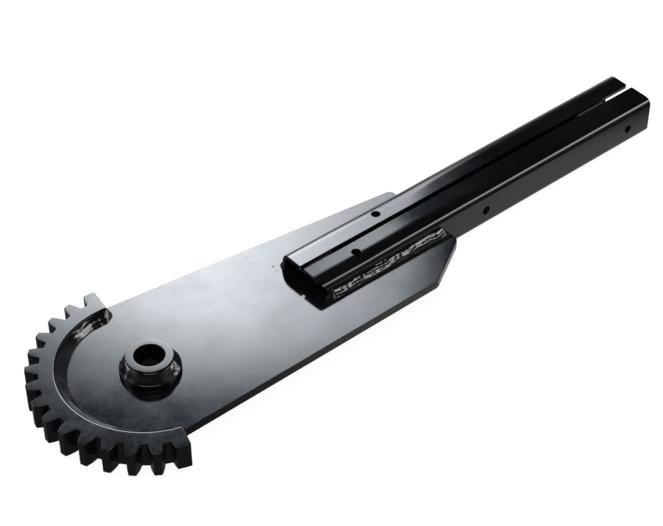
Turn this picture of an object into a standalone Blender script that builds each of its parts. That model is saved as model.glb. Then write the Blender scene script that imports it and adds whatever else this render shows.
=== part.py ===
"""Sector-gear lever arm: a flat pivot plate with a toothed rim segment, a pivot boss and a slotted
C-channel arm, joined by fillet welds. Metres, +Z up, +X along the arm."""

import math

import bmesh
import bpy
from mathutils import Matrix, Vector

MM = 0.001
GAP = 0.3 * MM  # clearance left between pieces that touch

# Toothed rim: module 6, 31 teeth on the full circle, stub teeth, 15 of them on the segment
MODULE = 6 * MM
TEETH_FULL = 31
TEETH = 15
ADDENDUM = 0.8 * MODULE
DEDENDUM = 1.0 * MODULE
PRESSURE = math.radians(20)
PITCH_R = MODULE * TEETH_FULL / 2
TIP_R = PITCH_R + ADDENDUM
ROOT_R = PITCH_R - DEDENDUM
RIM_INNER_R = 74 * MM
RIM_WIDTH = 24 * MM
TOOTH_STEP = 2 * math.pi / TEETH_FULL
FIRST_TOOTH = math.radians(85.9)
START_MARGIN = math.radians(4.1)  # from the middle of an end tooth to the cut end face beside it
END_MARGIN = math.radians(4.5)
RIM_START = FIRST_TOOTH - START_MARGIN
RIM_END = FIRST_TOOTH + (TEETH - 1) * TOOTH_STEP + END_MARGIN
LAST_TIP_R = TIP_R - 3 * MM  # the last tooth is cut lower

# Plate: its upper face is at z = 0 while the parts are built
PLATE_T = 8 * MM
MID_Z = -PLATE_T / 2
PLATE_END_X = 292 * MM
NEAR_EDGE_Y = -69.5 * MM
NEAR_CORNER_X = 243 * MM
NEAR_END_Y = -41 * MM
FAR_EDGE_OFFSET = 82.8 * MM  # distance of the tapering edge from the pivot axis
FAR_EDGE_TAPER = math.radians(7.5)

# Pivot boss
BOSS_R = 19 * MM
BORE_R = 12.5 * MM
BOSS_PROUD = 16 * MM
BOSS_CHAMFER = 0.3 * MM

# Arm: folded C-channel with a slit along the middle of its upper side
ARM_START = 155.5 * MM
ARM_END = 548 * MM
ARM_W = 52 * MM
ARM_TOP = 17 * MM
ARM_H = 38 * MM
SHEET = 3 * MM
BEND_R = 6 * MM
SLIT_Y = 1.2 * MM
SLIT_W = 5 * MM
HOLE_R = 4.2 * MM
LIP_HOLES = ((247 * MM, 14 * MM), (202.6 * MM, -11.8 * MM))
SIDE_HOLES_X = (340 * MM, 519.5 * MM)

# Fillet welds
RIM_BEAD = 7.5 * MM
RIM_BEAD_INSET = math.radians(1)
ARM_BEAD = 6 * MM
ARM_BEAD_INSET = 3 * MM
BOSS_BEAD_FOOT = 6 * MM
BOSS_BEAD_RISE = 14 * MM

SHEET_ROUGHNESS = 0.16
STEEL_ROUGHNESS = 0.22
WELD_ROUGHNESS = 0.3

MERGE = 0.00001
HOLE_SIDES = 32
SHARP = math.radians(35)
UPRIGHT = (0, 0, 0)
ACROSS = (math.pi / 2, 0, 0)


def clear_scene():
    for obj in list(bpy.data.objects):
        bpy.data.objects.remove(obj, do_unlink=True)


def new_collection(name):
    collection = bpy.data.collections.new(name)
    bpy.context.scene.collection.children.link(collection)
    return collection


def black_enamel(name, roughness):
    material = bpy.data.materials.new(name)
    material.use_nodes = True
    shader = material.node_tree.nodes["Principled BSDF"]
    shader.inputs["Base Color"].default_value = (0.012, 0.012, 0.014, 1)
    shader.inputs["Roughness"].default_value = roughness
    return material


def add_object(name, mesh, collection, roughness):
    obj = bpy.data.objects.new(name, mesh)
    collection.objects.link(obj)
    mesh.materials.append(black_enamel(name, roughness))
    mesh.shade_smooth()
    mesh.set_sharp_from_angle(angle=SHARP)
    return obj


def arc(radius, start, end, count, centre=(0.0, 0.0)):
    """Points from angle start to angle end, both included."""
    step = (end - start) / (count - 1)
    angles = [start + step * i for i in range(count)]
    return [(centre[0] + radius * math.cos(a), centre[1] + radius * math.sin(a)) for a in angles]


def to_mesh_object(curve_object, name):
    """The curve's surface as a mesh object, with its caps joined to its sides."""
    bpy.context.view_layer.update()
    graph = bpy.context.evaluated_depsgraph_get()
    mesh = bpy.data.meshes.new_from_object(curve_object.evaluated_get(graph))
    mesh.name = name
    mesh.transform(curve_object.matrix_world)
    curve = curve_object.data
    bpy.data.objects.remove(curve_object)
    bpy.data.curves.remove(curve)
    bm = bmesh.new()
    bm.from_mesh(mesh)
    bmesh.ops.remove_doubles(bm, verts=bm.verts, dist=MERGE)
    bmesh.ops.recalc_face_normals(bm, faces=bm.faces)
    bm.to_mesh(mesh)
    bm.free()
    return mesh


def poly_curve(name, points, cyclic):
    """A flat curve through points, each (u, v)."""
    curve = bpy.data.curves.new(name, "CURVE")
    curve.dimensions = "2D"
    spline = curve.splines.new("POLY")
    spline.points.add(len(points) - 1)
    for target, (u, v) in zip(spline.points, points):
        target.co = (u, v, 0, 1)
    spline.use_cyclic_u = cyclic
    obj = bpy.data.objects.new(name, curve)
    bpy.context.scene.collection.objects.link(obj)
    return obj


def slab(name, outline, thickness, matrix):
    """A filled outline, thickened evenly about its own plane."""
    obj = poly_curve(name + "_outline", outline, True)
    obj.data.fill_mode = "BOTH"
    obj.data.extrude = thickness / 2
    obj.matrix_world = matrix
    return to_mesh_object(obj, name)


def swept_bead(name, path, cyclic, section, height, collection):
    """A weld bead: the section, as (sideways, up), swept along a flat path at this height."""
    profile = poly_curve(name + "_section", section, True)
    obj = poly_curve(name + "_path", path, cyclic)
    obj.data.bevel_mode = "OBJECT"
    obj.data.bevel_object = profile
    obj.data.use_fill_caps = True
    obj.location.z = height
    mesh = to_mesh_object(obj, name)
    section_curve = profile.data
    bpy.data.objects.remove(profile)
    bpy.data.curves.remove(section_curve)
    return add_object(name, mesh, collection, WELD_ROUGHNESS)


def add_boolean(obj, cutter):
    modifier = obj.modifiers.new("cut_" + cutter.name, "BOOLEAN")
    modifier.operation = "DIFFERENCE"
    modifier.solver = "EXACT"
    modifier.object = cutter


def as_cutter(name, cutters):
    """Turns the primitive just added into a hidden cutter."""
    obj = bpy.context.object
    obj.name = name
    for owner in list(obj.users_collection):
        owner.objects.unlink(obj)
    cutters.objects.link(obj)
    obj.display_type = "WIRE"
    obj.hide_render = True
    return obj


def cylinder(name, radius, depth, place, turn, cutters):
    bpy.ops.mesh.primitive_cylinder_add(
        vertices=HOLE_SIDES, radius=radius, depth=depth, location=place, rotation=turn
    )
    return as_cutter(name, cutters)


def involute_half_angle(radius):
    """Half of a tooth's angular thickness at this radius."""
    base = PITCH_R * math.cos(PRESSURE)
    at_pitch = math.tan(PRESSURE) - PRESSURE
    alpha = math.acos(min(1.0, base / radius))
    return math.pi / (2 * TEETH_FULL) + at_pitch - (math.tan(alpha) - alpha)


def flank(side, tip_r):
    """One flank, root to tip, as (radius, angle from the tooth's middle)."""
    radii = [ROOT_R + 1.4 * MM, PITCH_R - 1 * MM, PITCH_R + 1.6 * MM, tip_r - 0.9 * MM]
    points = [(r, involute_half_angle(r)) for r in radii]
    points.insert(0, (ROOT_R, points[0][1] + 0.9 * MM / ROOT_R))
    points.append((tip_r, points[-1][1] - 0.9 * MM / tip_r))
    return [(r, side * a) for r, a in points]


def rim_outline():
    outline = []
    for tooth in range(TEETH):
        middle = FIRST_TOOTH + tooth * TOOTH_STEP
        tip_r = LAST_TIP_R if tooth == TEETH - 1 else TIP_R
        leading = flank(-1, tip_r)
        trailing = list(reversed(flank(1, tip_r)))
        if tooth == 0:
            leading = [(tip_r, RIM_START - middle)]
        if tooth == TEETH - 1:
            trailing = [(tip_r, RIM_END - middle)]
        for radius, angle in leading + trailing:
            outline += [(radius * math.cos(middle + angle), radius * math.sin(middle + angle))]
    return outline + arc(RIM_INNER_R, RIM_END, RIM_START, 61)


def build_rim(collection):
    mesh = slab("toothed_rim", rim_outline(), RIM_WIDTH, Matrix.Translation((0, 0, MID_Z)))
    return add_object("toothed_rim", mesh, collection, STEEL_ROUGHNESS)


def rounded(corner, before, after, radius, count=6):
    """The corner between two straight edges, rounded."""
    here, one, two = Vector(corner), Vector(before), Vector(after)
    to_one, to_two = (one - here).normalized(), (two - here).normalized()
    half = to_one.angle(to_two) / 2
    centre = here + (to_one + to_two).normalized() * (radius / math.sin(half))
    start = here + to_one * (radius / math.tan(half)) - centre
    end = here + to_two * (radius / math.tan(half)) - centre
    a0 = math.atan2(start.y, start.x)
    turn = (math.atan2(end.y, end.x) - a0 + math.pi) % (2 * math.pi) - math.pi
    return arc(radius, a0, a0 + turn, count, (centre.x, centre.y))


def plate_outline():
    radius = RIM_INNER_R - GAP
    near_leave = math.asin(NEAR_EDGE_Y / radius)
    step_angle = RIM_START - GAP / radius
    round_end = arc(radius, math.pi - near_leave, step_angle, 61)
    sine, cosine = math.sin(FAR_EDGE_TAPER), math.cos(FAR_EDGE_TAPER)
    shoulder_r = FAR_EDGE_OFFSET / math.sin(step_angle + FAR_EDGE_TAPER)
    shoulder = (shoulder_r * math.cos(step_angle), shoulder_r * math.sin(step_angle))
    far_corner = (PLATE_END_X, (FAR_EDGE_OFFSET - PLATE_END_X * sine) / cosine)
    near_end = (PLATE_END_X, NEAR_END_Y)
    near_corner = (NEAR_CORNER_X, NEAR_EDGE_Y)
    near_start = (-radius * math.cos(near_leave), NEAR_EDGE_Y)
    outline = round_end + [shoulder]
    outline += rounded(far_corner, shoulder, near_end, 6 * MM)
    outline += rounded(near_end, far_corner, near_corner, 8 * MM)
    return outline + rounded(near_corner, near_end, near_start, 10 * MM)


def build_plate(collection, cutters):
    mesh = slab("pivot_plate", plate_outline(), PLATE_T, Matrix.Translation((0, 0, MID_Z)))
    plate = add_object("pivot_plate", mesh, collection, SHEET_ROUGHNESS)
    hole = cylinder("boss_seat", BOSS_R + GAP, 3 * PLATE_T, (0, 0, MID_Z), UPRIGHT, cutters)
    add_boolean(plate, hole)
    return plate


def build_boss(collection):
    top, bottom = BOSS_PROUD, -PLATE_T - BOSS_PROUD
    c = BOSS_CHAMFER
    profile = [(BORE_R, bottom + c), (BORE_R + c, bottom), (BOSS_R - c, bottom), (BOSS_R, bottom + c)]
    profile += [(BOSS_R, top - c), (BOSS_R - c, top), (BORE_R + c, top), (BORE_R, top - c)]
    bm = bmesh.new()
    row = [bm.verts.new((r, 0, z)) for r, z in profile]
    for i in range(len(row)):
        bm.edges.new((row[i], row[(i + 1) % len(row)]))
    mesh = bpy.data.meshes.new("pivot_boss")
    bm.to_mesh(mesh)
    bm.free()
    boss = add_object("pivot_boss", mesh, collection, STEEL_ROUGHNESS)
    screw = boss.modifiers.new("turn", "SCREW")
    screw.steps = screw.render_steps = 48
    screw.use_merge_vertices = True
    screw.merge_threshold = MERGE
    screw.use_normal_calculate = True
    return boss


def channel_section():
    """The sheet's closed outline, (y, z): round the outside from lip to lip, then back round the inside."""
    half = ARM_W / 2
    low = ARM_TOP - ARM_H
    inner = BEND_R - SHEET
    right, left = half - BEND_R, -half + BEND_R
    top, bottom = ARM_TOP - BEND_R, low + BEND_R
    quarter = math.pi / 2
    corners = ((right, top, 0), (left, top, 1), (left, bottom, 2), (right, bottom, 3))
    outside = [(SLIT_Y - SLIT_W / 2, ARM_TOP)]
    for y, z, turn in (corners[1], corners[2], corners[3], corners[0]):
        start = turn * quarter
        if turn == 0:
            start += 2 * math.pi
        outside += arc(BEND_R, start, start + quarter, 6, (y, z))
    outside += [(SLIT_Y + SLIT_W / 2, ARM_TOP), (SLIT_Y + SLIT_W / 2, ARM_TOP - SHEET)]
    inside = []
    for y, z, turn in (corners[0], corners[3], corners[2], corners[1]):
        start = turn * quarter
        inside += arc(inner, start + quarter, start, 5, (y, z))
    return outside + inside + [(SLIT_Y - SLIT_W / 2, ARM_TOP - SHEET)]


def build_arm(collection, cutters):
    middle = (ARM_START + ARM_END) / 2
    stand_up = Matrix(((0, 0, 1, middle), (1, 0, 0, 0), (0, 1, 0, 0), (0, 0, 0, 1)))
    mesh = slab("channel_arm", channel_section(), ARM_END - ARM_START, stand_up)
    arm = add_object("channel_arm", mesh, collection, SHEET_ROUGHNESS)
    for i, (x, y) in enumerate(LIP_HOLES):
        place = (x, y, ARM_TOP - SHEET / 2)
        add_boolean(arm, cylinder(f"lip_hole_{i + 1}", HOLE_R, 3 * SHEET, place, UPRIGHT, cutters))
    for i, x in enumerate(SIDE_HOLES_X):
        place = (x, 0, MID_Z)
        add_boolean(arm, cylinder(f"side_hole_{i + 1}", HOLE_R, 1.5 * ARM_W, place, ACROSS, cutters))
    add_boolean(arm, plate_slot(cutters))
    return arm


def plate_slot(cutters):
    """The cut through both side walls that lets the plate pass."""
    start, end = ARM_START - PLATE_T, PLATE_END_X + GAP
    bpy.ops.mesh.primitive_cube_add(size=1, location=((start + end) / 2, 0, MID_Z))
    slot = as_cutter("plate_slot", cutters)
    slot.scale = (end - start, 1.5 * ARM_W, PLATE_T + 2 * GAP)
    return slot


def bead_section(foot, rise, side, below):
    """A convex fillet in its corner: foot along the plate to one side, rise up the wall."""
    outline = [(GAP, GAP), (foot, GAP), (0.87 * foot, 0.3 * rise), (0.56 * foot, 0.62 * rise), (GAP, rise)]
    return [(side * out, -up if below else up) for out, up in outline]


def build_beads(end, below, collection):
    """All the beads on one side of the plate."""
    height = -PLATE_T if below else 0.0
    rim_path = arc(RIM_INNER_R, RIM_START + RIM_BEAD_INSET, RIM_END - RIM_BEAD_INSET, 49)
    rim_section = bead_section(RIM_BEAD, RIM_BEAD, -1, below)
    swept_bead(f"weld_rim_{end}", rim_path, False, rim_section, height, collection)
    boss_path = arc(BOSS_R, 0, 2 * math.pi, 49)[:-1]
    boss_section = bead_section(BOSS_BEAD_FOOT, BOSS_BEAD_RISE, -1, below)
    swept_bead(f"weld_boss_{end}", boss_path, True, boss_section, height, collection)
    for name, side in (("near", -1), ("far", 1)):
        ends = (ARM_START + ARM_BEAD_INSET, PLATE_END_X - ARM_BEAD_INSET)
        path = [(x, side * ARM_W / 2) for x in ends]
        section = bead_section(ARM_BEAD, ARM_BEAD, -side, below)
        swept_bead(f"weld_arm_{name}_{end}", path, False, section, height, collection)


def bounds(objects):
    graph = bpy.context.evaluated_depsgraph_get()
    points = []
    for obj in objects:
        shape = obj.evaluated_get(graph)
        points += [shape.matrix_world @ Vector(corner) for corner in shape.bound_box]
    low = Vector([min(p[i] for p in points) for i in range(3)])
    high = Vector([max(p[i] for p in points) for i in range(3)])
    return low, high


def rest_on_origin(nodes, helpers):
    """Puts the middle of the footprint at x = y = 0 and the lowest face at z = 0."""
    bpy.context.view_layer.update()
    low, high = bounds(nodes)
    shift = Vector(((low.x + high.x) / 2, (low.y + high.y) / 2, low.z))
    for obj in list(nodes) + list(helpers):
        obj.location -= shift


def main():
    clear_scene()
    collection = new_collection("sector_gear_arm")
    cutters = new_collection("cutters")
    cutters.hide_render = True
    build_plate(collection, cutters)
    build_rim(collection)
    build_boss(collection)
    build_arm(collection, cutters)
    build_beads("top", False, collection)
    build_beads("bottom", True, collection)
    rest_on_origin(collection.objects, cutters.objects)


main()
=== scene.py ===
"""The looks of the sector-gear lever arm: sheet, teeth, boss and weld beads in gloss black enamel."""

import math

import bmesh
import bpy
from mathutils import Matrix, Quaternion, Vector, noise


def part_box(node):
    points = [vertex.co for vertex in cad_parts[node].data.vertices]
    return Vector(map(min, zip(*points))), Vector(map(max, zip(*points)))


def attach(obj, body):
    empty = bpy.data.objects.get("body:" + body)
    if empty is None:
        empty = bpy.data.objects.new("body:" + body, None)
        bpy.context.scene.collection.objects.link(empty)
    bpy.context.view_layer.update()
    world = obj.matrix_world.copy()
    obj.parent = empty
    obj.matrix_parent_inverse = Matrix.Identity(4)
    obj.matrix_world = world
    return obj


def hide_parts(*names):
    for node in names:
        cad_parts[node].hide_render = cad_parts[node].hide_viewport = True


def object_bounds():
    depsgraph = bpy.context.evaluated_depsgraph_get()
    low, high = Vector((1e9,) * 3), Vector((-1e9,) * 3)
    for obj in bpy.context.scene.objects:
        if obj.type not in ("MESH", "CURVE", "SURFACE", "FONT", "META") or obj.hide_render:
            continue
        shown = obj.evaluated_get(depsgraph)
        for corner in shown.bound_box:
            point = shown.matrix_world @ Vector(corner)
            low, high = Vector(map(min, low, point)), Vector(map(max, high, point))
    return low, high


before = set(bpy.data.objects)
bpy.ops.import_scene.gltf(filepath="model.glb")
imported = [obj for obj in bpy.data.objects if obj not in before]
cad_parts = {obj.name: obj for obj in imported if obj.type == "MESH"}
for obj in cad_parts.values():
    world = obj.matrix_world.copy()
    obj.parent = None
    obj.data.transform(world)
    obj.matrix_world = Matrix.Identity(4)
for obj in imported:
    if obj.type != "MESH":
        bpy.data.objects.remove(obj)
cad_low, cad_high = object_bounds()

MM = 0.001
TURN = 2 * math.pi
QUARTER = math.pi / 2

# The frame: every piece is modelled about the pivot axis, with the plate's upper face at z = 0
boss_low, boss_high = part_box("pivot_boss")
plate_low, plate_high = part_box("pivot_plate")
rim_low, rim_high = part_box("toothed_rim")
arm_low, arm_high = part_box("channel_arm")
ORIGIN = Vector(((boss_low[0] + boss_high[0]) / 2, (boss_low[1] + boss_high[1]) / 2, plate_high[2]))

PLATE_T = plate_high[2] - plate_low[2]
PLATE_END_X = plate_high[0] - ORIGIN.x
NEAR_EDGE_Y = plate_low[1] - ORIGIN.y
BOSS_R = (boss_high[0] - boss_low[0]) / 2
BOSS_TOP = boss_high[2] - ORIGIN.z
BOSS_LOW = boss_low[2] - ORIGIN.z
RIM_TOP = rim_high[2] - ORIGIN.z
RIM_LOW = rim_low[2] - ORIGIN.z
ARM_START = arm_low[0] - ORIGIN.x
ARM_END = arm_high[0] - ORIGIN.x
ARM_HALF_W = (arm_high[1] - arm_low[1]) / 2
ARM_TOP = arm_high[2] - ORIGIN.z
ARM_LOW = arm_low[2] - ORIGIN.z
MID_Z = -PLATE_T / 2

# Toothed rim
MODULE = 6 * MM
TEETH_FULL = 31
TEETH = 15
PRESSURE = math.radians(20)
PITCH_R = MODULE * TEETH_FULL / 2
TIP_R = PITCH_R + 0.8 * MODULE
ROOT_R = PITCH_R - 1.0 * MODULE
RIM_INNER_R = 74 * MM
TOOTH_STEP = TURN / TEETH_FULL
FIRST_TOOTH = math.radians(85.9)
START_MARGIN = math.radians(4.1)
END_MARGIN = math.radians(4.5)
RIM_START = FIRST_TOOTH - START_MARGIN
RIM_END = FIRST_TOOTH + (TEETH - 1) * TOOTH_STEP + END_MARGIN
LAST_TIP_R = TIP_R - 3 * MM
TIP_ROUND = 1.5 * MM
ROOT_ROUND = 1.5 * MM
CORNER_SHARE = 0.9  # of those two, the radius that a corner beside a flank gets
TIP_DRAW = 0.3 * MM  # how far a tip's corner draws in from its flank
FLANK_ROWS = 7
INNER_CORNER = 1 * MM
INNER_WEAR = 2.8

# Plate outline
NEAR_CORNER_X = 243 * MM
NEAR_END_Y = -41 * MM
FAR_EDGE_OFFSET = 82.8 * MM
FAR_EDGE_TAPER = math.radians(7.5)
NEAR_CORNER_ROUND = 10 * MM
NEAR_END_ROUND = 8 * MM
FAR_CORNER_ROUND = 6 * MM
PLATE_FIT = 0.02 * MM  # between the plate's round end and the rim
SEAT_OVERLAP = 0.5 * MM  # the plate runs this far into the boss
CUT_EDGE = 0.6 * MM  # rounding of the plate's and the rim's cut edges

# Boss and channel
BORE_R = 12.5 * MM
BOSS_EDGE = 0.3 * MM
BOSS_SIDES = 128
SHEET = 3 * MM
BEND_R = 6 * MM
SLIT_Y = (1.6 * MM, 0.9 * MM)
SLIT_W = (4.9 * MM, 5.4 * MM)
HOLE_R = 4.2 * MM
LIP_HOLES = ((247 * MM, 14 * MM), (202.6 * MM, -11.8 * MM))
SIDE_HOLES_X = (340 * MM, 519.5 * MM)
HOLE_SIDES = 48
CORNER_R = 6.5 * MM  # outside of the bend between a lip and its wall
END_ROUND_NEAR = 1.0 * MM  # the lips' free corners
END_ROUND_FAR = 2.2 * MM
NEAR_SLANT = 9 * MM  # how far the near wall's pivot end is cut back, and the far wall's stands out
FAR_SLANT = -3 * MM
CUT_FADE = 40 * MM  # the length over which a slanted end dies out
FAR_CUT = 5 * MM
WALL_ROWS = [z * MM for z in (7, 4, 1, -2, -5, -8, -12)]
SLOT_GAP = 0.15 * MM
SHEET_EDGE = 0.45 * MM
LIP_ROWS = 10
BEND_ROWS = 12
STATIONS = 44
LAST_STATIONS = (1, 0.72, 0.48, 0.28, 0.13, 0.04, 0)  # from the free end, in units of END_ROUND_FAR
TACK_MIDDLE = 16 * MM
TACK_HALF = (21 * MM, 7 * MM, 1.4 * MM)
TACK_DROP = 1.7 * MM
TACK_SETBACK = 0.4 * MM


def new_piece(name, bm, material, slot_name, *nodes):
    """A finished mesh as a piece on the part's one body, standing for these CAD nodes."""
    bmesh.ops.recalc_face_normals(bm, faces=bm.faces)
    mesh = bpy.data.meshes.new(name)
    bm.to_mesh(mesh)
    bm.free()
    mesh.shade_smooth()
    mesh.materials.append(material)
    piece = bpy.data.objects.new(name, mesh)
    piece.location = ORIGIN
    bpy.context.scene.collection.objects.link(piece)
    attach(piece, "root")
    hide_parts(*nodes)
    return piece


def even_normals(piece):
    """Keeps the large flat faces flat, and lets only their rounded edges turn the light."""
    weighted = piece.modifiers.new("even_normals", "WEIGHTED_NORMAL")
    weighted.keep_sharp = True
    weighted.weight = 100


# ---------------------------------------------------------------- outlines


def arc(radius, start, end, count, centre=(0.0, 0.0)):
    """Points from angle start to angle end, both included."""
    step = (end - start) / (count - 1)
    angles = [start + step * i for i in range(count)]
    return [(centre[0] + radius * math.cos(a), centre[1] + radius * math.sin(a)) for a in angles]


def rounded(corner, before, after, radius, count):
    """The corner between two straight edges, rounded."""
    here, one, two = Vector(corner), Vector(before), Vector(after)
    to_one, to_two = (one - here).normalized(), (two - here).normalized()
    half = to_one.angle(to_two) / 2
    centre = here + (to_one + to_two).normalized() * (radius / math.sin(half))
    start = here + to_one * (radius / math.tan(half)) - centre
    end = here + to_two * (radius / math.tan(half)) - centre
    a0 = math.atan2(start.y, start.x)
    turn = (math.atan2(end.y, end.x) - a0 + math.pi) % TURN - math.pi
    return arc(radius, a0, a0 + turn, count, (centre.x, centre.y))


def inset(outline, distance, widen=None):
    """The closed outline moved to its left by this distance; widen(point) scales that."""
    moved = []
    count = len(outline)
    for i in range(count):
        here = Vector(outline[i])
        back = (here - Vector(outline[i - 1])).normalized()
        ahead = (Vector(outline[(i + 1) % count]) - here).normalized()
        left = Vector((-back.y - ahead.y, back.x + ahead.x)).normalized()
        stretch = max(0.35, left.dot(Vector((-ahead.y, ahead.x))))
        reach = distance * widen(here) if widen else distance
        moved.append(here + left * (reach / stretch))
    return moved


def rounded_slab(bm, outlines, low, high, edge, widen=None):
    """A thick plate with rounded edges. Its first outline runs anticlockwise, and any hole clockwise."""
    steps = 6
    caps = {low: [], high: []}
    for outline in outlines:
        rings = []
        for i in range(steps + 1):
            angle = QUARTER * i / steps
            rings.append((edge * (1 - math.sin(angle)), low + edge * (1 - math.cos(angle))))
        rings += [(away, low + high - z) for away, z in reversed(rings)]
        previous = None
        for away, z in rings:
            ring = [bm.verts.new((p[0], p[1], z)) for p in inset(outline, away, widen)]
            edges = [bm.edges.new((ring[i - 1], ring[i])) for i in range(len(ring))]
            if previous is None:
                caps[low] += edges
            else:
                for i in range(len(ring)):
                    bm.faces.new((previous[i - 1], previous[i], ring[i], ring[i - 1]))
            previous = ring
        caps[high] += edges
    for edges in caps.values():
        bmesh.ops.triangle_fill(bm, use_beauty=True, edges=edges)


def involute_half_angle(radius):
    """Half of a tooth's angular thickness at this radius."""
    base = PITCH_R * math.cos(PRESSURE)
    at_pitch = math.tan(PRESSURE) - PRESSURE
    alpha = math.acos(min(1.0, base / radius))
    return math.pi / (2 * TEETH_FULL) + at_pitch - (math.tan(alpha) - alpha)


def polar(radius, angle):
    return (radius * math.cos(angle), radius * math.sin(angle))


def flank(side, tip_r):
    """One flank, root to tip, as (radius, angle from the tooth's middle)."""
    low, high = ROOT_R + ROOT_ROUND, tip_r - TIP_ROUND
    radii = [low + (high - low) * i / (FLANK_ROWS - 1) for i in range(FLANK_ROWS)]
    return [(r, side * involute_half_angle(r)) for r in radii]


def rim_outline():
    """Anticlockwise: along the teeth from the first to the last, and back along the inner arc."""
    corners = []
    for tooth in range(TEETH):
        middle = FIRST_TOOTH + tooth * TOOTH_STEP
        tip_r = LAST_TIP_R if tooth == TEETH - 1 else TIP_R
        sides = []
        for side in (-1, 1):
            if (tooth, side) in ((0, -1), (TEETH - 1, 1)):
                end = RIM_START if tooth == 0 else RIM_END
                sides.append([(tip_r, end - middle, TIP_ROUND)])
                continue
            points = flank(side, tip_r)
            root = (ROOT_R, points[0][1], ROOT_ROUND * CORNER_SHARE)
            tip = (tip_r, points[-1][1] - side * TIP_DRAW / tip_r, TIP_ROUND * CORNER_SHARE)
            sides.append([root] + [(r, a, 0) for r, a in points] + [tip])
        for radius, angle, round_by in sides[0] + sides[1][::-1]:
            corners.append((polar(radius, middle + angle), round_by))
    inner = [(point, 0) for point in arc(RIM_INNER_R, RIM_END, RIM_START, 121)]
    inner[0] = (inner[0][0], INNER_CORNER)
    inner[-1] = (inner[-1][0], INNER_CORNER)
    corners += inner
    outline = []
    for i in range(len(corners)):
        point, round_by = corners[i]
        if round_by:
            before, after = corners[i - 1][0], corners[(i + 1) % len(corners)][0]
            outline += rounded(point, before, after, round_by, 5)
        else:
            outline.append(point)
    return outline


def plate_outline():
    """The round end first, then the near edge and the two end corners, back to the rim's first end."""
    radius = RIM_INNER_R - PLATE_FIT
    near_leave = math.asin(NEAR_EDGE_Y / radius)
    round_end = arc(radius, RIM_START, math.pi - near_leave, 121)
    shoulder_r = FAR_EDGE_OFFSET / math.sin(RIM_START + FAR_EDGE_TAPER)
    shoulder = polar(shoulder_r, RIM_START)
    far_end_y = (FAR_EDGE_OFFSET - PLATE_END_X * math.sin(FAR_EDGE_TAPER)) / math.cos(FAR_EDGE_TAPER)
    far_corner = (PLATE_END_X, far_end_y)
    near_end = (PLATE_END_X, NEAR_END_Y)
    near_corner = (NEAR_CORNER_X, NEAR_EDGE_Y)
    near_start = (-radius * math.cos(near_leave), NEAR_EDGE_Y)
    corners = rounded(near_corner, near_start, near_end, NEAR_CORNER_ROUND, 13)
    corners += rounded(near_end, near_corner, far_corner, NEAR_END_ROUND, 13)
    corners += rounded(far_corner, near_end, shoulder, FAR_CORNER_ROUND, 13)
    return round_end + corners + [shoulder]


# ---------------------------------------------------------------- materials


def add_node(tree, kind, **settings):
    node = tree.nodes.new(kind)
    for key, value in settings.items():
        setattr(node, key, value)
    return node


def plug(tree, node, values):
    """Sets or links a node's inputs, given by place or name."""
    for key, value in values.items():
        if isinstance(value, bpy.types.NodeSocket):
            tree.links.new(value, node.inputs[key])
        else:
            node.inputs[key].default_value = value


def math_node(tree, operation, *values):
    node = add_node(tree, "ShaderNodeMath", operation=operation)
    plug(tree, node, dict(enumerate(values)))
    return node.outputs[0]


def noise_node(tree, where, scale, detail=2.0, roughness=0.5):
    node = add_node(tree, "ShaderNodeTexNoise")
    plug(tree, node, {"Vector": where, "Scale": scale, "Detail": detail, "Roughness": roughness})
    return node.outputs["Fac"]


def ramp(tree, value, from_low, from_high, to_low, to_high, smooth=False):
    node = add_node(tree, "ShaderNodeMapRange")
    node.interpolation_type = "SMOOTHSTEP" if smooth else "LINEAR"
    plug(tree, node, {"Value": value, "From Min": from_low, "From Max": from_high})
    plug(tree, node, {"To Min": to_low, "To Max": to_high})
    return node.outputs["Result"]


ENAMEL_TINT = (0.0031, 0.0033, 0.0037)
DUST_TINT = (0.09, 0.09, 0.095, 1)
NIB_HEIGHT = 0.12 * MM


def bump_node(tree, height, distance, **below):
    node = add_node(tree, "ShaderNodeBump")
    plug(tree, node, {"Height": height, "Distance": distance, "Strength": 1.0, **below})
    return node.outputs["Normal"]


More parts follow.
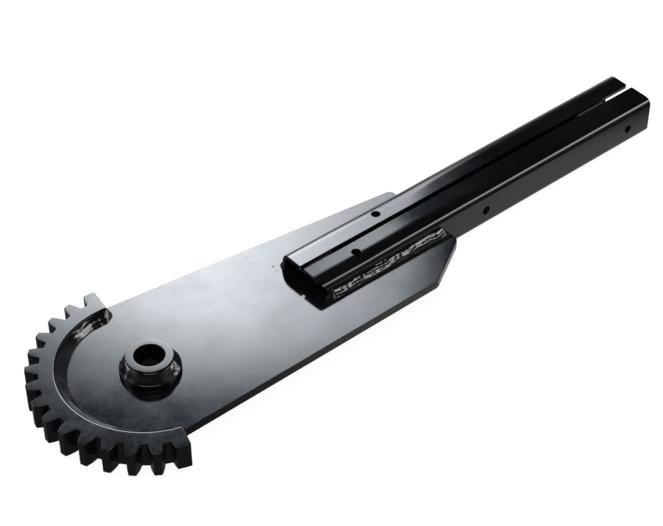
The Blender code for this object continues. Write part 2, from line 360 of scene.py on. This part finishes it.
def enamel(name, roughness, peel, sag, ior=1.45):
    """Sprayed gloss black: fine orange peel, a slow sag in the film, smudges and a few dust nibs."""
    material = bpy.data.materials.new(name)
    material.use_nodes = True
    tree = material.node_tree
    shader = tree.nodes["Principled BSDF"]
    where = add_node(tree, "ShaderNodeTexCoord").outputs["Object"]

    blotch = noise_node(tree, where, scale=18, detail=3, roughness=0.55)
    colour = add_node(tree, "ShaderNodeMix", data_type="RGBA")
    plug(tree, colour, {0: ramp(tree, blotch, 0.35, 0.65, 0, 1)})
    colour.inputs[6].default_value = (*[c * 0.8 for c in ENAMEL_TINT], 1)
    colour.inputs[7].default_value = (*[c * 1.25 for c in ENAMEL_TINT], 1)
    dust_cells = add_node(tree, "ShaderNodeTexVoronoi")
    plug(tree, dust_cells, {"Vector": where, "Scale": 260})
    dust = ramp(tree, dust_cells.outputs["Distance"], 0.10, 0.04, 0, 1, True)
    dusty = ramp(tree, noise_node(tree, where, scale=60), 0.62, 0.7, 0, 1)
    dust = math_node(tree, "MULTIPLY", dust, dusty)
    dusted = add_node(tree, "ShaderNodeMix", data_type="RGBA")
    plug(tree, dusted, {0: math_node(tree, "MULTIPLY", dust, 0.5), 6: colour.outputs[2]})
    dusted.inputs[7].default_value = DUST_TINT

    smudge = noise_node(tree, where, scale=26, detail=4, roughness=0.6)
    smudge = ramp(tree, smudge, 0.3, 0.7, roughness - 0.025, roughness + 0.035)
    fine = ramp(tree, noise_node(tree, where, scale=420), 0.3, 0.7, -0.012, 0.012)
    rough = math_node(tree, "ADD", smudge, fine)
    rough = math_node(tree, "ADD", rough, math_node(tree, "MULTIPLY", dust, 0.3))

    sagging = bump_node(tree, noise_node(tree, where, scale=16, detail=1.5), sag)
    peeling = bump_node(tree, noise_node(tree, where, scale=340, detail=1.5), peel, Normal=sagging)
    nibs = bump_node(tree, dust, NIB_HEIGHT, Normal=peeling)

    plug(tree, shader, {"Base Color": dusted.outputs[2], "Roughness": rough, "Normal": nibs})
    shader.inputs["IOR"].default_value = ior
    return material


SHEET_ENAMEL = enamel("sheet_enamel", roughness=0.09, peel=0.003 * MM, sag=0.04 * MM)
STEEL_ENAMEL = enamel("steel_enamel", roughness=0.10, peel=0.005 * MM, sag=0.05 * MM)
WELD_ENAMEL = enamel("weld_enamel", roughness=0.10, peel=0.008 * MM, sag=0.04 * MM, ior=1.52)


# ---------------------------------------------------------------- plate, rim and boss


def build_plate():
    bm = bmesh.new()
    seat = arc(BOSS_R - SEAT_OVERLAP, 0, -TURN, 97)[:-1]
    rounded_slab(bm, [plate_outline(), seat], -PLATE_T, 0, CUT_EDGE)
    plate = new_piece("plate_sheet", bm, SHEET_ENAMEL, "plate_enamel", "pivot_plate")
    even_normals(plate)


def inner_edge_wear(point):
    """How many times as far the rim's edge is rounded across its faces here as along the teeth."""
    return INNER_WEAR if point.length < RIM_INNER_R + 0.5 * MM else 1.0


def build_rim():
    bm = bmesh.new()
    rounded_slab(bm, [rim_outline()], RIM_LOW, RIM_TOP, CUT_EDGE, inner_edge_wear)
    rim = new_piece("rim_teeth", bm, STEEL_ENAMEL, "rim_enamel", "toothed_rim")
    even_normals(rim)


def build_boss():
    inner, outer = BORE_R + BOSS_EDGE, BOSS_R - BOSS_EDGE
    low, high = BOSS_LOW + BOSS_EDGE, BOSS_TOP - BOSS_EDGE
    corners = ((2, inner, low), (-1, outer, low), (0, outer, high), (1, inner, high))
    profile = []
    for turns, r, z in corners:
        profile += arc(BOSS_EDGE, turns * QUARTER, (turns + 1) * QUARTER, 5, (r, z))
    bm = bmesh.new()
    rings = []
    for i in range(BOSS_SIDES):
        angle = TURN * i / BOSS_SIDES
        rings.append([bm.verts.new((*polar(r, angle), z)) for r, z in profile])
    for i, ring in enumerate(rings):
        before = rings[i - 1]
        for j in range(len(ring)):
            bm.faces.new((before[j - 1], before[j], ring[j], ring[j - 1]))
    boss = new_piece("boss_tube", bm, STEEL_ENAMEL, "rim_enamel", "pivot_boss")
    even_normals(boss)


# ---------------------------------------------------------------- channel


def mix(low, high, fraction):
    return low + (high - low) * fraction


def steps_between(*stops):
    """A value that runs straight between (fraction, value) stops."""

    def value(fraction):
        for (f0, v0), (f1, v1) in zip(stops, stops[1:]):
            if fraction <= f1:
                return mix(v0, v1, (fraction - f0) / (f1 - f0))
        return stops[-1][1]

    return value


# How each lip bends along the arm. Lift is the height of its edge at the slit. Tilt is its lean there,
# and curl its lean where the corner to the wall begins, both in degrees. Curl starts at curl_from, which is
# measured out from the middle of the arm. Each stop is (fraction of the arm's length, value).
NEAR_LIFT = steps_between((0, -0.3 * MM), (0.12, -0.7 * MM), (0.25, -0.3 * MM), (0.38, 0), (1, -0.1 * MM))
NEAR_CURL = steps_between((0, 16), (0.1, 18), (0.25, 17), (0.38, 12), (1, 9))
NEAR_TILT = steps_between(
    (0, 2.2), (0.1, 1.75), (0.16, 1.25), (0.25, 1.1), (0.33, 1.5), (0.4, 1.85), (0.48, 2.4), (1, 2.4)
)
NEAR_CURL_FROM = steps_between((0, 12.5 * MM), (1, 17.5 * MM))
NEAR_DIP = math.radians(0.4)
FAR_LIFT = steps_between((0, -0.1 * MM), (1, -0.8 * MM))
FAR_CURL = steps_between((0, 6), (0.35, 10), (0.42, 10.5), (0.5, 7), (1, 8))
FAR_TILT = steps_between(
    (0, 0.2), (0.29, 0.2), (0.36, -0.3), (0.42, -0.75), (0.5, -1.15), (0.7, -1.9), (1, -3.0)
)
FAR_CURL_FROM = steps_between((0, 18 * MM), (0.19, 16 * MM), (0.34, 14 * MM), (0.42, 16 * MM), (1, 14 * MM))
FAR_DIP = 0.0


def lip_points(slit, lift, tilt, curl, curl_from, dip):
    """A lip's outer face from the slit to its wall: (way out from the middle, height, lean from level)."""
    curl_end = ARM_HALF_W - CORNER_R * (1 - math.sin(curl))
    away, height = slit, ARM_TOP + lift
    points = [(away, height, tilt)]
    for i in range(LIP_ROWS):
        here = mix(slit, curl_end, (i + 1) / LIP_ROWS)
        bent = min(1.0, max(0.0, (here - curl_from) / (curl_end - curl_from)))
        lean = mix(tilt, curl, bent ** 1.6)
        lean -= dip * (1 - bent) * min(1.0, (here - slit) / (curl_from - slit))
        height -= (here - away) * math.tan((lean + points[-1][2]) / 2)
        away = here
        points.append((away, height, lean))
    for i in range(1, BEND_ROWS + 1):
        lean = mix(curl, QUARTER, i / BEND_ROWS)
        points.append((
            curl_end + CORNER_R * (math.sin(lean) - math.sin(curl)),
            height - CORNER_R * (math.cos(curl) - math.cos(lean)),
            lean,
        ))
    return points


def channel_section(along, retreat_near, retreat_far):
    """The folded sheet's closed outline, (y, z), at this fraction of the arm's length."""
    slit, half = mix(*SLIT_Y, along), mix(*SLIT_W, along) / 2
    slit += 0.12 * MM * noise.noise(Vector((along * 9, 3.1, 0)))
    near_lift = NEAR_LIFT(along) + 0.2 * MM * noise.noise(Vector((along * 5, 0, 7.7)))
    far_lift = FAR_LIFT(along) + 0.15 * MM * noise.noise(Vector((along * 5, 4.2, 0)))
    near = lip_points(
        half - slit + retreat_near, near_lift, math.radians(NEAR_TILT(along)),
        math.radians(NEAR_CURL(along)), NEAR_CURL_FROM(along), NEAR_DIP,
    )
    far = lip_points(
        half + slit + retreat_far, far_lift, math.radians(FAR_TILT(along)),
        math.radians(FAR_CURL(along)), FAR_CURL_FROM(along), FAR_DIP,
    )
    side, low, inner = ARM_HALF_W - BEND_R, ARM_LOW + BEND_R, BEND_R - SHEET
    points = [(-away, height) for away, height, lean in near]
    points += [(-ARM_HALF_W, z) for z in WALL_ROWS]
    points += arc(BEND_R, 2 * QUARTER, 3 * QUARTER, 13, (-side, low))
    points += arc(BEND_R, -QUARTER, 0, 13, (side, low))
    points += [(ARM_HALF_W, z) for z in reversed(WALL_ROWS)]
    points += [(away, height) for away, height, lean in reversed(far)]
    points += [(away - SHEET * math.sin(lean), height - SHEET * math.cos(lean)) for away, height, lean in far]
    points += [(ARM_HALF_W - SHEET, z) for z in WALL_ROWS]
    points += arc(inner, 0, -QUARTER, 9, (side, low))
    points += arc(inner, 3 * QUARTER, 2 * QUARTER, 9, (-side, low))
    points += [(SHEET - ARM_HALF_W, z) for z in reversed(WALL_ROWS)]
    for away, height, lean in reversed(near):
        points.append((SHEET * math.sin(lean) - away, height - SHEET * math.cos(lean)))
    return points


def end_cut(y, z):
    """How far the channel's pivot end is cut back from square: its near wall slants back to the plate."""
    nearness = max(0.0, 1 - abs(z - MID_Z) / (ARM_TOP - SHEET - MID_Z))
    if y < 2 * SHEET - ARM_HALF_W:
        return NEAR_SLANT * nearness ** 0.8
    if y > ARM_HALF_W - 2 * SHEET:
        return FAR_SLANT * nearness
    return 0.0


def add_tack(bm):
    """A run of weld under the lips that ties them together at the pivot end."""
    place = Matrix.Translation((ARM_START + TACK_MIDDLE, SLIT_Y[0], ARM_TOP - SHEET - TACK_DROP))
    shape = place @ Matrix.Diagonal((*TACK_HALF, 1))
    ball = bmesh.ops.create_icosphere(bm, subdivisions=3, radius=1, matrix=shape)
    for vert in ball["verts"]:
        vert.co.x = max(vert.co.x, ARM_START + TACK_SETBACK)


def corner_retreat(radius, distance):
    """How far a lip's edge stands back, this far from the end, to round its corner."""
    if distance >= radius:
        return 0.0
    return radius - math.sqrt(radius * radius - (radius - distance) ** 2)


def add_cutter(name, bm, matrix):
    """A hidden cutter, which isn't part of the object."""
    mesh = bpy.data.meshes.new(name)
    bm.to_mesh(mesh)
    bm.free()
    cutter = bpy.data.objects.new(name, mesh)
    bpy.context.scene.collection.objects.link(cutter)
    cutter.matrix_world = Matrix.Translation(ORIGIN) @ matrix
    cutter.hide_render = True
    cutter.hide_viewport = True
    return cutter


def drill(name, place, depth, across):
    bm = bmesh.new()
    bmesh.ops.create_cone(
        bm, cap_ends=True, segments=HOLE_SIDES, radius1=HOLE_R, radius2=HOLE_R, depth=depth
    )
    turn = Matrix.Rotation(QUARTER, 4, "X") if across else Matrix()
    return add_cutter(name, bm, Matrix.Translation(place) @ turn)


def slot_block():
    """The cut through both side walls that lets the plate pass."""
    bm = bmesh.new()
    bmesh.ops.create_cube(bm, size=1)
    start, end = ARM_START - PLATE_T, PLATE_END_X + SLOT_GAP
    size = Matrix.Diagonal((end - start, 3 * ARM_HALF_W, PLATE_T + 2 * SLOT_GAP, 1))
    return add_cutter("slot_block", bm, Matrix.Translation(((start + end) / 2, 0, MID_Z)) @ size)


def build_channel():
    bm = bmesh.new()
    length = ARM_END - ARM_START
    stations = [length * i / STATIONS for i in range(STATIONS)]
    stations += [length - END_ROUND_FAR * left for left in LAST_STATIONS]
    previous = None
    for run in stations:
        left = length - run
        section = channel_section(
            run / length, corner_retreat(END_ROUND_NEAR, left), corner_retreat(END_ROUND_FAR, left)
        )
        ring = []
        for y, z in section:
            cut_back = end_cut(y, z) * max(0.0, 1 - run / CUT_FADE)
            if y > 0:
                cut_back -= min(FAR_CUT, end_cut(-y, z)) * max(0.0, 1 - left / CUT_FADE)
            ring.append(bm.verts.new((ARM_START + run + cut_back, y, z)))
        if previous is None:
            bm.faces.new(ring)
        else:
            for j in range(len(ring)):
                bm.faces.new((previous[j - 1], previous[j], ring[j], ring[j - 1]))
        previous = ring
    bm.faces.new(previous)
    add_tack(bm)
    channel = new_piece("channel_sheet", bm, SHEET_ENAMEL, "plate_enamel", "channel_arm")
    cutters = [slot_block()]
    for i, (x, y) in enumerate(LIP_HOLES):
        cutters.append(drill(f"lip_drill_{i + 1}", (x, y, ARM_TOP), 6 * SHEET, False))
    for i, x in enumerate(SIDE_HOLES_X):
        cutters.append(drill(f"side_drill_{i + 1}", (x, 0, MID_Z), 3 * ARM_HALF_W, True))
    for cutter in cutters:
        cut = channel.modifiers.new("cut_" + cutter.name, "BOOLEAN")
        cut.operation = "DIFFERENCE"
        cut.solver = "EXACT"
        cut.object = cutter
    soften = channel.modifiers.new("soft_edges", "BEVEL")
    soften.width = SHEET_EDGE
    soften.segments = 2
    soften.limit_method = "ANGLE"
    soften.angle_limit = math.radians(35)
    even_normals(channel)


# ---------------------------------------------------------------- weld beads


BEAD_CAP = 4 * MM  # the length of a bead's rounded end
BEAD_STEP = 0.5 * MM
BEAD_ROWS = 20
BEAD_SUNK = 0.3 * MM  # how far a bead's back stands inside the steel
FACE_UNIT = 6 * MM  # places across a bead's face are counted in this
RIDGES = 2.7  # in that distance
RIPPLE_LENGTH = 5.2 * MM
TURN_REACH = 1.75 * MM  # how far out from the path a turn on the spot is measured
RIM_BEAD_REACH = 4.5 * MM  # how far it comes down the rim's end face
RIM_BEAD_TURN = 18  # steps
RIM_BEAD_SHORT = math.radians(1)  # what it leaves of the rim at its other end
BOSS_BEAD_STEPS = 280
NEAR_BEAD_SETBACK = 6 * MM  # from the channel's pivot end, where it is cut back
FAR_BEAD_SETBACK = -1.5 * MM
PLATE_END_SETBACK = 2.5 * MM


def lump(length, across, stretch, fineness, seed):
    """Smooth noise on a bead's face, stretched by so many millimetres along it and this fine across it."""
    return noise.noise(Vector((length / MM / stretch, across * fineness, seed)))


def bead_ring(path_length, fraction, here_foot, here_rise, profile, coarse, seed):
    """A bead's outline at one place on its path, as (way out from the wall, height)."""
    ring = [(-BEAD_SUNK, -BEAD_SUNK)]
    wander = 0.6 * lump(path_length, 0, 15, 0, seed + 6)
    for j in range(BEAD_ROWS + 1):
        t = j / BEAD_ROWS
        angle = t * QUARTER
        over, up = profile(fraction, t)
        middle = math.sin(math.pi * t) ** 0.75
        place = t * here_foot / FACE_UNIT
        swell = 1 + 1.4 * lump(path_length, place, 9, 1, seed + 8)
        bulge = 0.15 * MM * swell * math.cos(TURN * (RIDGES * place + wander))
        bulge += 0.025 * MM * math.cos(TURN * (path_length / RIPPLE_LENGTH + 0.5 * middle + wander))
        bulge += 0.32 * MM * lump(path_length, place, 20, 2, seed + 11)
        bulge += 0.20 * MM * lump(path_length, place, 7, 4, seed + 17)
        bulge += 0.12 * MM * lump(path_length, place, 3.2, 4, seed + 23)
        bulge *= coarse * middle
        ring.append((here_foot * over + bulge * math.cos(angle), here_rise * up + bulge * math.sin(angle)))
    ring[1] = (ring[1][0], -BEAD_SUNK)
    ring[-1] = (-BEAD_SUNK, ring[-1][1])
    return ring


def bead_mesh(bm, path, looped, foot, rise, profile, seed, rough, below):
    """A fillet weld along the path, which is (point, way out from the wall, length so far)."""
    total = path[-1][2]
    base, sign = (-PLATE_T, -1) if below else (0.0, 1)
    rings = []
    for point, out, length in path:
        fraction = length / total
        coarse = rough(fraction)
        grow = 1.0
        if not looped:
            to_end = min(1.0, min(length, total - length) / BEAD_CAP)
            grow = math.sqrt(max(0.02, 1 - (1 - to_end) ** 2))
        here_foot = foot(fraction) * grow * (1 + 0.05 * coarse * lump(length, 0, 12, 0, seed))
        here_foot += 0.06 * MM * coarse * lump(length, 0, 4, 0, seed + 2)
        here_rise = rise * grow * (1 + 0.05 * coarse * lump(length, 5, 12, 1, seed + 3))
        verts = []
        for u, v in bead_ring(length, fraction, here_foot, here_rise, profile, coarse, seed):
            verts.append(bm.verts.new((point[0] + out[0] * u, point[1] + out[1] * u, base + sign * v)))
        rings.append(verts)
    pairs = list(zip(rings, rings[1:]))
    if looped:
        pairs.append((rings[-1], rings[0]))
    else:
        bm.faces.new(rings[0])
        bm.faces.new(rings[-1])
    for one, two in pairs:
        for j in range(len(one)):
            bm.faces.new((one[j - 1], one[j], two[j], two[j - 1]))


def add_spatter(bm, spots, below):
    """Small round droplets that the welding threw on the sheet."""
    base = -PLATE_T if below else 0.0
    for x, y, radius in spots:
        place = Matrix.Translation((x * MM, y * MM, base)) @ Matrix.Diagonal((1, 1, 0.6, 1))
        bmesh.ops.create_icosphere(bm, subdivisions=2, radius=radius * MM, matrix=place)


def measured(points):
    """Adds the length so far to each (point, way out). A turn on the spot counts for the bead's width."""
    length = 0.0
    path = []
    for i, (point, out) in enumerate(points):
        if i:
            length += math.dist(point, points[i - 1][0]) + TURN_REACH * math.dist(out, points[i - 1][1])
        path.append((point, out, length))
    return path


def rim_path():
    """Down the rim's end face, round its corner and along its inner wall."""
    points = []
    beside = (math.sin(RIM_START), -math.cos(RIM_START))
    count = int(RIM_BEAD_REACH / BEAD_STEP)
    for i in range(count):
        points.append((polar(RIM_INNER_R + RIM_BEAD_REACH * (1 - i / count), RIM_START), beside))
    for i in range(RIM_BEAD_TURN + 1):
        angle = RIM_START - QUARTER - QUARTER * i / RIM_BEAD_TURN
        points.append((polar(RIM_INNER_R, RIM_START), (math.cos(angle), math.sin(angle))))
    end = RIM_END - RIM_BEAD_SHORT
    count = int(RIM_INNER_R * (end - RIM_START) / BEAD_STEP)
    for i in range(1, count + 1):
        angle = RIM_START + (end - RIM_START) * i / count
        points.append((polar(RIM_INNER_R, angle), polar(-1, angle)))
    return measured(points)


def boss_path():
    points = []
    for i in range(BOSS_BEAD_STEPS):
        angle = TURN * i / BOSS_BEAD_STEPS
        points.append((polar(BOSS_R, angle), polar(1, angle)))
    return measured(points)


def arm_path(side):
    start = ARM_START + (NEAR_BEAD_SETBACK if side < 0 else FAR_BEAD_SETBACK)
    end = PLATE_END_X - PLATE_END_SETBACK
    count = int((end - start) / BEAD_STEP)
    y = side * ARM_HALF_W
    return measured([((start + (end - start) * i / count, y), (0, side)) for i in range(count + 1)])


def steady(value):
    return steps_between((0, value), (1, value))


def fillet(hollow):
    """A bead's outline, as fractions of its foot and rise: 1 is round, 2 is flat and more is hollow."""

    def profile(fraction, t):
        angle = t * QUARTER
        return math.cos(angle) ** hollow(fraction), math.sin(angle) ** hollow(fraction)

    return profile


COLLAR_FOOT = 5.8 * MM
COLLAR_RISE = 14.5 * MM
COLLAR_UPRIGHT = 3.2 * MM
COLLAR_BEND_R = 6 * MM
COLLAR_LEAN = math.radians(31)
COLLAR_BEND_FROM, COLLAR_BEND_TO = 0.2, 0.55  # the part of the outline that the shoulder takes


def collar(fraction, t):
    """The boss bead's outline: upright at its foot, round a shoulder, then a straight cone to the tube."""
    turned = min(1, max(0, (t - COLLAR_BEND_FROM) / (COLLAR_BEND_TO - COLLAR_BEND_FROM))) * COLLAR_LEAN
    over = COLLAR_FOOT - COLLAR_BEND_R * (1 - math.cos(turned))
    up = COLLAR_UPRIGHT * min(1, t / COLLAR_BEND_FROM) + COLLAR_BEND_R * math.sin(turned)
    left = max(0, (t - COLLAR_BEND_TO) / (1 - COLLAR_BEND_TO))
    return mix(over, 0, left) / COLLAR_FOOT, mix(up, COLLAR_RISE, left) / COLLAR_RISE


# How each bead varies along its path. Foot and rise are its width and height, hollow is what fillet takes,
# and rough scales the unevenness of its face. Each stop is (fraction of the path, value).
COLLAR_ROUGH = steady(0.5)
ARM_FOOT = steady(6 * MM)
ARM_RISE = 6.5 * MM
ARM_HOLLOW = steady(1.5)
ARM_ROUGH = steady(1.0)
RIM_RISE = 7.2 * MM
RIM_FOOT = steps_between(
    (0, 3.2 * MM), (0.03, 4 * MM), (0.05, 8.5 * MM), (0.08, 8.6 * MM), (0.12, 7.4 * MM),
    (0.18, 7.8 * MM), (0.3, 9 * MM), (1, 8.5 * MM),
)
RIM_HOLLOW = steps_between(
    (0, 1.5), (0.06, 1.8), (0.16, 1.8), (0.24, 1.9), (0.44, 1.9), (0.54, 2.9), (1, 2.8)
)
RIM_ROUGH = steps_between(
    (0, 0.9), (0.06, 0.65), (0.14, 0.42), (0.2, 0.25), (0.28, 0.1),
    (0.44, 0.1), (0.5, 0.6), (0.7, 0.8), (1, 0.9),
)
# Droplets of spatter, (x, y, radius) in millimetres
RIM_SPATTER = ((26, 76, 0.5), (22, 62, 0.35), (9, 58, 0.4), (-6, 55, 0.3), (33, 71, 0.3), (-28, 52, 0.35))
NEAR_SPATTER = ((165, -38, 0.4), (188, -41, 0.3), (221, -37, 0.45), (236, -43, 0.3))
FAR_SPATTER = ((150, 33, 0.8), (149, 27, 0.5))


def build_bead(name, path, looped, foot, rise, profile, seed, rough, spots=()):
    below = name.endswith("bottom")
    bm = bmesh.new()
    bead_mesh(bm, path, looped, foot, rise, profile, seed, rough, below)
    add_spatter(bm, spots, below)
    new_piece(name.replace("weld", "bead"), bm, WELD_ENAMEL, "weld_enamel", name)


def build_beads():
    for seed, end in ((0.5, "top"), (40.5, "bottom")):
        build_bead(
            f"weld_rim_{end}", rim_path(), False, RIM_FOOT, RIM_RISE, fillet(RIM_HOLLOW),
            seed, RIM_ROUGH, RIM_SPATTER,
        )
        build_bead(
            f"weld_boss_{end}", boss_path(), True, steady(COLLAR_FOOT), COLLAR_RISE, collar,
            seed + 1, COLLAR_ROUGH,
        )
        for name, side, spots in (("near", -1, NEAR_SPATTER), ("far", 1, FAR_SPATTER)):
            build_bead(
                f"weld_arm_{name}_{end}", arm_path(side), False, ARM_FOOT, ARM_RISE, fillet(ARM_HOLLOW),
                seed + 5 + side, ARM_ROUGH, spots,
            )


# ---------------------------------------------------------------- studio


def sky(azimuth, elevation):
    """The direction at this azimuth from +X towards +Y, and elevation above the floor, in degrees."""
    a, e = math.radians(azimuth), math.radians(elevation)
    return Vector((math.cos(e) * math.cos(a), math.cos(e) * math.sin(a), math.sin(e)))


def softbox(tree, direction, azimuth, elevation, left, right, low, high, soft_w, soft_h, turn, colour):
    """Light from a soft-edged rectangle of sky. Its sides are angles from its middle, in degrees."""
    middle = sky(azimuth, elevation)
    sideways = Vector((-math.sin(math.radians(azimuth)), math.cos(math.radians(azimuth)), 0))
    upward = middle.cross(sideways)
    lean = Quaternion(middle, math.radians(turn))
    facing = dot_node(tree, direction, middle)
    masks = [ramp(tree, facing, 0.02, 0.2, 0, 1, True)]
    depth = math_node(tree, "MAXIMUM", facing, 0.02)
    edges = ((sideways, -right, left, soft_w), (upward, low, high, soft_h))
    for axis, low_edge, high_edge, soft in edges:
        place = math_node(tree, "DIVIDE", dot_node(tree, direction, lean @ axis), depth)
        a, b, s = (math.tan(math.radians(angle)) for angle in (low_edge, high_edge, soft))
        masks.append(ramp(tree, place, a - s, a + s, 0, 1, True))
        masks.append(ramp(tree, place, b - s, b + s, 1, 0, True))
    mask = masks[0]
    for other in masks[1:]:
        mask = math_node(tree, "MULTIPLY", mask, other)
    return scaled(tree, colour, mask)


def dot_node(tree, direction, vector):
    node = add_node(tree, "ShaderNodeVectorMath", operation="DOT_PRODUCT")
    plug(tree, node, {0: direction, 1: vector})
    return node.outputs["Value"]


def add_vectors(tree, one, two):
    node = add_node(tree, "ShaderNodeVectorMath", operation="ADD")
    plug(tree, node, {0: one, 1: two})
    return node.outputs[0]


def scaled(tree, colour, factor):
    node = add_node(tree, "ShaderNodeVectorMath", operation="SCALE")
    plug(tree, node, {0: colour, "Scale": factor})
    return node.outputs[0]


GLOW_TINT = (0.95, 1, 1.05)
AMBIENT = (0.022, 0.028, 0.034)


def build_world():
    """A dark studio: a pale backdrop low on the far side, a low band of glow and the softboxes."""
    world = bpy.data.worlds.new("studio")
    bpy.context.scene.world = world
    world.use_nodes = True
    tree = world.node_tree
    direction = add_node(tree, "ShaderNodeTexCoord").outputs["Generated"]
    height = dot_node(tree, direction, (0, 0, 1))
    backdrop = ramp(tree, height, 0.12, 0.5, 1, 0, True)
    behind = ramp(tree, dot_node(tree, direction, sky(75, 0)), 0.45, 0.95, 0.07, 1.3, True)
    total = scaled(tree, (1, 1, 1), math_node(tree, "MULTIPLY", backdrop, behind))
    glow = ramp(tree, height, 0.03, 0.16, 0, 1, True)
    fades = (
        ramp(tree, height, 0.36, 0.58, 1, 0, True),
        ramp(tree, dot_node(tree, direction, sky(230, 18)), 0.45, 0.85, 0.34, 0.0, True),
        ramp(tree, dot_node(tree, direction, sky(10, 5)), 0.9, 0.98, 1, 0.25, True),
    )
    for fade in fades:
        glow = math_node(tree, "MULTIPLY", glow, fade)
    total = add_vectors(tree, total, scaled(tree, GLOW_TINT, glow))
    total = add_vectors(tree, total, AMBIENT)
    key = (49.85, 41.5)  # beyond the object from the camera, and as high, so level faces mirror it
    boxes = (
        # azimuth, elevation, left, right, low, high, soft sideways, soft upwards, turn, colour
        (*key, 7.4, -1.05, -11.3, 2.86, 3.18, 1.5, -2.5, (9.8, 10.3, 10.7)),
        (*key, 24, 2.6, -6, 2.5, 0.7, 1.9, -6.8, (6.8, 7.3, 7.7)),
        (*key, 4.4, -1, 3, 5.6, 0.9, 0.9, -6.8, (0.35, 0.5, 0.6)),
        (*key, 24, 3, -6, 6, 3, 6, -6.8, (0.0, 0.12, 0.3)),
        (-34, 32, 5, 6, -5, 6, 4, 4, 0, (8, 8, 8)),
        (-50, 31, 9, 7, -8, 9, 5, 4, 0, (7.2, 7.2, 7.2)),
        (-22, 6, 14, 14, -3, 3, 4, 2, 0, (8, 8, 8)),
        (127, 8, 14, 14, -8, 8, 5, 4, 0, (8, 8, 8)),
        (230, 4, 30, 30, -2.5, 2.5, 10, 1.5, 0, (10, 10, 10)),
        (230, 70, 16, 16, -5, 5, 5, 4, 0, (6, 6, 6)),
        (140, 45, 12, 12, -14, 14, 6, 6, 0, (2.5, 2.5, 2.6)),
        (135, 28, 30, 30, -6, 8, 16, 8, 0, (0.9, 0.95, 1)),
        (0, 88, 9, 9, -9, 9, 5, 5, 0, (4, 4, 4)),
    )
    for *where, colour in boxes:
        total = add_vectors(tree, total, softbox(tree, direction, *where, colour))
    plug(tree, tree.nodes["Background"], {"Color": total, "Strength": 1.0})


FLOOR_TINT = (0.16, 0.16, 0.16, 1)
FLOOR_GLOW = 0.93
FLOOR_HALF = 12
# the warm tint of the painted reflection, what the enamel mirrors of the floor
PAINTED_REFLECTION_TINT = (1, 0.97, 0.92, 1)


def build_floor():
    """White to the eye. What the enamel mirrors of it is a painted reflection: a dimmer, warmer patch under
    the arm, with painted shade towards the pivot, outside the arm's near side and past its free end.
    """
    bm = bmesh.new()
    bmesh.ops.create_grid(bm, x_segments=1, y_segments=1, size=FLOOR_HALF)
    mesh = bpy.data.meshes.new("floor")
    bm.to_mesh(mesh)
    bm.free()
    floor = bpy.data.objects.new("floor", mesh)
    floor.location.z = cad_low[2]
    bpy.context.scene.collection.objects.link(floor)
    material = bpy.data.materials.new("pale_floor")
    material.use_nodes = True
    tree = material.node_tree
    shader = tree.nodes["Principled BSDF"]
    shader.inputs["Base Color"].default_value = FLOOR_TINT
    shader.inputs["Roughness"].default_value = 1
    shader.inputs["Specular IOR Level"].default_value = 0
    shader.inputs["Emission Color"].default_value = (1, 1, 1, 1)
    shader.inputs["Emission Strength"].default_value = FLOOR_GLOW
    where = add_node(tree, "ShaderNodeTexCoord").outputs["Object"]
    along_arm = dot_node(tree, where, (1, 0, 0))
    # painted shade in the mirrored floor: brighter away from the pivot
    along = ramp(tree, along_arm, ORIGIN.x, ORIGIN.x + 0.25, 0.1, 0.64, True)
    # painted shade: dim outside the arm's near side
    edge = dot_node(tree, where, (-0.15, 1, 0))
    painted_shade_mask = ramp(tree, edge, -0.12, -0.085, 0.08, 1, True)
    # and painted shade past the arm's free end
    past_end = ramp(tree, along_arm, cad_high.x - 0.02, cad_high.x, 0, 0.9)
    inboard = ramp(tree, dot_node(tree, where, (0, 1, 0)), -0.03, -0.01, 0, 1)
    painted_end_shade = math_node(tree, "MULTIPLY", past_end, inboard)
    painted_shade_mask = math_node(tree, "MULTIPLY", painted_shade_mask, math_node(tree, "SUBTRACT", 1.0, painted_end_shade))
    # the floor's glow as glossy rays see it: a painted reflection, dimmed by the painted shade above
    painted_reflection = add_node(tree, "ShaderNodeEmission")
    painted_reflection.inputs["Color"].default_value = PAINTED_REFLECTION_TINT
    plug(tree, painted_reflection, {"Strength": math_node(tree, "MULTIPLY", along, painted_shade_mask)})
    blend = add_node(tree, "ShaderNodeMixShader")
    seen = add_node(tree, "ShaderNodeLightPath").outputs["Is Glossy Ray"]
    plug(tree, blend, {0: seen, 1: shader.outputs["BSDF"], 2: painted_reflection.outputs[0]})
    output = next(node for node in tree.nodes if node.type == "OUTPUT_MATERIAL")
    plug(tree, output, {"Surface": blend.outputs[0]})
    mesh.materials.append(material)


CAMERA_AZIMUTH, CAMERA_ELEVATION = 229.85, 41.09
CAMERA_ROLL = math.radians(-0.28)
CAMERA_AIM = ORIGIN + Vector((198.7, 15.2, -11.8)) * MM
CAMERA_DISTANCE = 1538.2 * MM


def build_camera():
    """The camera looks at a point just beside the middle of the object."""
    back = sky(CAMERA_AZIMUTH, CAMERA_ELEVATION)
    data = bpy.data.cameras.new("camera")
    data.lens = 98.75
    data.sensor_width = 36
    data.clip_start, data.clip_end = 0.05, 50
    camera = bpy.data.objects.new("camera", data)
    bpy.context.scene.collection.objects.link(camera)
    camera.location = CAMERA_AIM + back * CAMERA_DISTANCE
    camera.rotation_mode = "QUATERNION"
    camera.rotation_quaternion = (-back).to_track_quat("-Z", "Y") @ Quaternion((0, 0, 1), CAMERA_ROLL)
    bpy.context.scene.camera = camera


build_camera()
build_plate()
build_rim()
build_boss()
build_channel()
build_beads()
build_world()
build_floor()
bpy.context.scene.view_settings.view_transform = "Standard"

bpy.context.view_layer.update()
